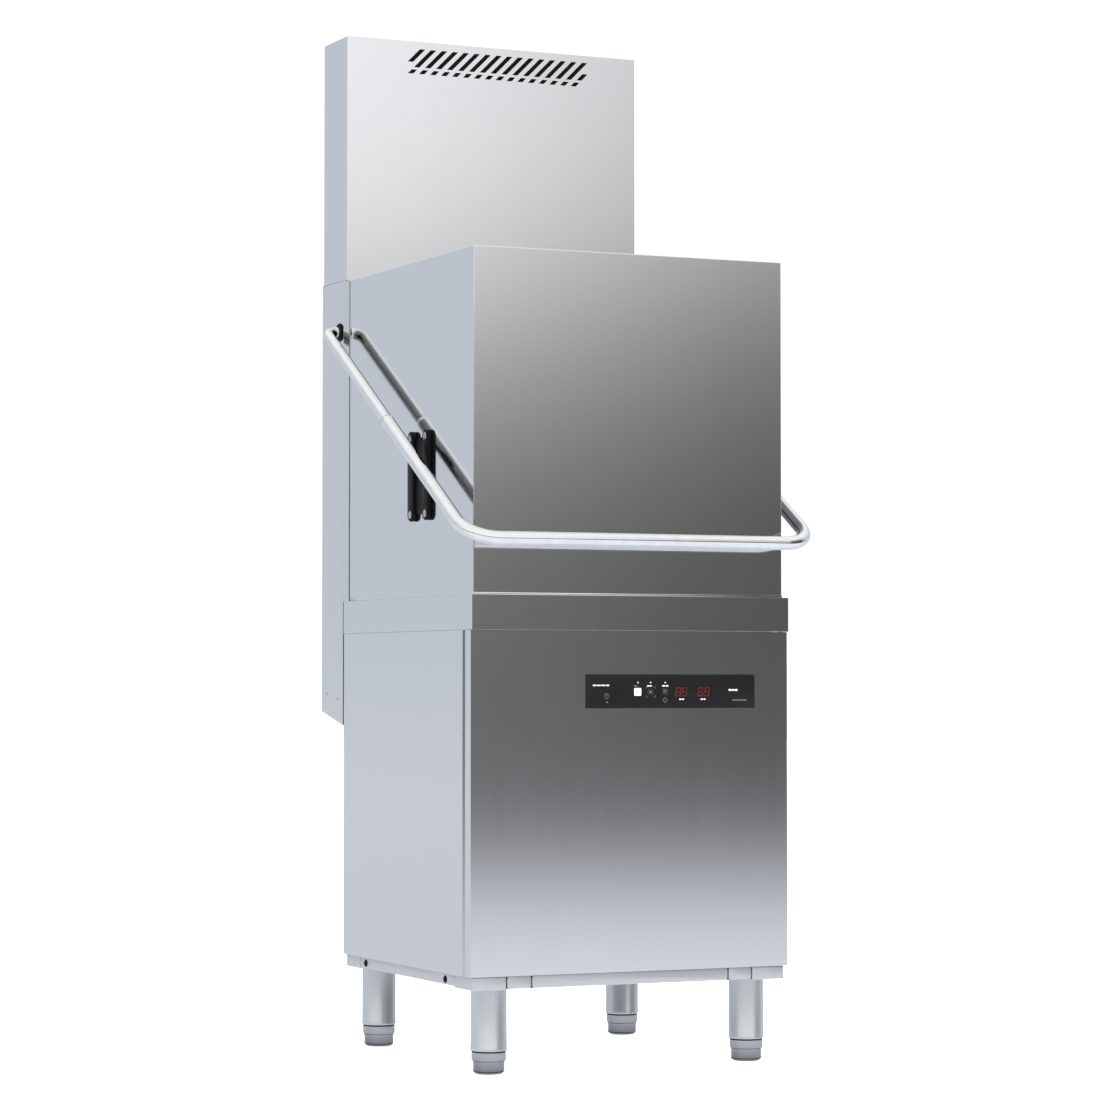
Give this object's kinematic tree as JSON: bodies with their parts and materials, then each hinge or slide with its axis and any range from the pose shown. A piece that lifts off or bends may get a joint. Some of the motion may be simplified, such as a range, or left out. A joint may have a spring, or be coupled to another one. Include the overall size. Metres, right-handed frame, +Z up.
{
  "type": "hood-type commercial dishwasher",
  "caption": "Free-standing pass-through dishwasher: a steel hood lifted by a bent tube handle over a wash tank, with a rear column that carries a slotted steam condenser.",
  "frame": {"origin": "on the floor, at the centre of the machine's plan outline", "axes": "+Z up, front towards -Y, +X to the right seen from the front"},
  "size_m": [0.717, 0.8075, 1.949],
  "materials": {
    "brushed_steel": "fine vertical grain, satin",
    "inner_steel": "plain mill finish",
    "polished_tube": "polished",
    "black_plastic": "moulded, satin",
    "panel_black": "smooth film",
    "white_key": "smooth",
    "grey_key": "smooth",
    "display_red": "dark red window",
    "cast_grey": "cast",
    "coil_fins": "plain fins",
    "spring_steel": "bare wire"
  },
  "bodies": {
    "root": {"base_frame": "brushed_steel", "cable_gland": "black_plastic", "column_cover": "brushed_steel", "condenser_coil": "coil_fins", "condenser_housing": "brushed_steel", "control_box": "black_plastic", "control_panel": "panel_black", "display_window": "display_red", "drain_outlet": "cast_grey", "fan_motor": "cast_grey", "front_panel": "brushed_steel", "guide_rail_left": "polished_tube", "guide_rail_right": "polished_tube", "leg_front_left": "brushed_steel", "leg_front_right": "brushed_steel", "leg_rear_left": "brushed_steel", "leg_rear_right": "brushed_steel", "lift_spring_left": "spring_steel", "lift_spring_right": "spring_steel", "lower_spindle": "black_plastic", "pivot_bush_left": "black_plastic", "pivot_bush_right": "black_plastic", "rack_guide_left": "inner_steel", "rack_guide_right": "inner_steel", "rear_panel": "brushed_steel", "rinse_boiler": "inner_steel", "riser_pipe": "inner_steel", "side_panel_left": "brushed_steel", "side_panel_right": "brushed_steel", "splash_back": "inner_steel", "tank_heater": "spring_steel", "tank_rim": "brushed_steel", "tank_strainer": "inner_steel", "wash_pump": "cast_grey", "wash_tank": "inner_steel", "water_inlet_valve": "cast_grey"},
    "hood": {"hood_shell": "brushed_steel", "arm_guide_left": "black_plastic", "arm_guide_right": "black_plastic", "hood_slider_left": "inner_steel", "hood_slider_right": "inner_steel"},
    "handle": {"handle_bar": "polished_tube", "handle_arm_left": "polished_tube", "handle_arm_right": "polished_tube", "lift_shaft": "inner_steel"},
    "lower_wash": {"lower_wash_arm": "inner_steel"},
    "lower_rinse": {"lower_rinse_arm": "inner_steel"},
    "upper_wash": {"upper_wash_arm": "inner_steel"},
    "upper_rinse": {"upper_rinse_arm": "inner_steel"},
    "fan": {"condenser_fan": "black_plastic"},
    "overflow": {"overflow_pipe": "black_plastic"},
    "power_key": {"power_key": "grey_key"},
    "start_key": {"start_key": "white_key"},
    "cycle_key": {"cycle_key": "grey_key"},
    "select_key": {"select_key": "grey_key"},
    "drain_key": {"drain_key": "grey_key"},
    "foot_front_left": {"foot_front_left": "inner_steel"},
    "foot_front_right": {"foot_front_right": "inner_steel"},
    "foot_rear_left": {"foot_rear_left": "inner_steel"},
    "foot_rear_right": {"foot_rear_right": "inner_steel"}
  },
  "joints": [
    {"name": "hood_lift", "type": "slide", "parent": "root", "child": "hood", "axis": [0, 0, 1], "range_m": [0, 0.43]},
    {"name": "handle_swing", "type": "hinge", "parent": "root", "child": "handle", "pos_m": [0, 0.29875, 1.372], "axis": [-1, 0, 0], "range_deg": [0, 55], "deforming": ["lift_spring_left", "lift_spring_right"]},
    {"name": "lower_wash_spin", "type": "hinge", "parent": "root", "child": "lower_wash", "pos_m": [0, -0.03325, 0.787], "axis": [0, 0, 1], "continuous": true},
    {"name": "lower_rinse_spin", "type": "hinge", "parent": "root", "child": "lower_rinse", "pos_m": [0, -0.03325, 0.807], "axis": [0, 0, 1], "continuous": true},
    {"name": "upper_wash_spin", "type": "hinge", "parent": "root", "child": "upper_wash", "pos_m": [0, -0.03325, 1.359], "axis": [0, 0, 1], "continuous": true},
    {"name": "upper_rinse_spin", "type": "hinge", "parent": "root", "child": "upper_rinse", "pos_m": [0, -0.03325, 1.339], "axis": [0, 0, 1], "continuous": true},
    {"name": "fan_spin", "type": "hinge", "parent": "root", "child": "fan", "pos_m": [0, 0.32765, 1.8], "axis": [0, 1, 0], "continuous": true},
    {"name": "overflow_lift", "type": "slide", "parent": "root", "child": "overflow", "axis": [0, 0, 1], "range_m": [0, 0.1]},
    {"name": "power_key_press", "type": "slide", "parent": "root", "child": "power_key", "axis": [0, 1, 0], "range_m": [0, 0.001], "stiffness_N_per_m": 600, "springref_m": -0.0005},
    {"name": "start_key_press", "type": "slide", "parent": "root", "child": "start_key", "axis": [0, 1, 0], "range_m": [0, 0.001], "stiffness_N_per_m": 600, "springref_m": -0.0005},
    {"name": "cycle_key_press", "type": "slide", "parent": "root", "child": "cycle_key", "axis": [0, 1, 0], "range_m": [0, 0.001], "stiffness_N_per_m": 600, "springref_m": -0.0005},
    {"name": "select_key_press", "type": "slide", "parent": "root", "child": "select_key", "axis": [0, 1, 0], "range_m": [0, 0.001], "stiffness_N_per_m": 600, "springref_m": -0.0005},
    {"name": "drain_key_press", "type": "slide", "parent": "root", "child": "drain_key", "axis": [0, 1, 0], "range_m": [0, 0.001], "stiffness_N_per_m": 600, "springref_m": -0.0005},
    {"name": "foot_front_left_screw", "type": "slide", "parent": "root", "child": "foot_front_left", "axis": [0, 0, -1], "range_m": [0, 0.025]},
    {"name": "foot_front_right_screw", "type": "slide", "parent": "root", "child": "foot_front_right", "axis": [0, 0, -1], "range_m": [0, 0.025]},
    {"name": "foot_rear_left_screw", "type": "slide", "parent": "root", "child": "foot_rear_left", "axis": [0, 0, -1], "range_m": [0, 0.025]},
    {"name": "foot_rear_right_screw", "type": "slide", "parent": "root", "child": "foot_rear_right", "axis": [0, 0, -1], "range_m": [0, 0.025]}
  ],
  "couplings": [
    {"joint": "handle_swing", "follows": "hood_lift", "rad_per_m": 2.214}
  ]
}
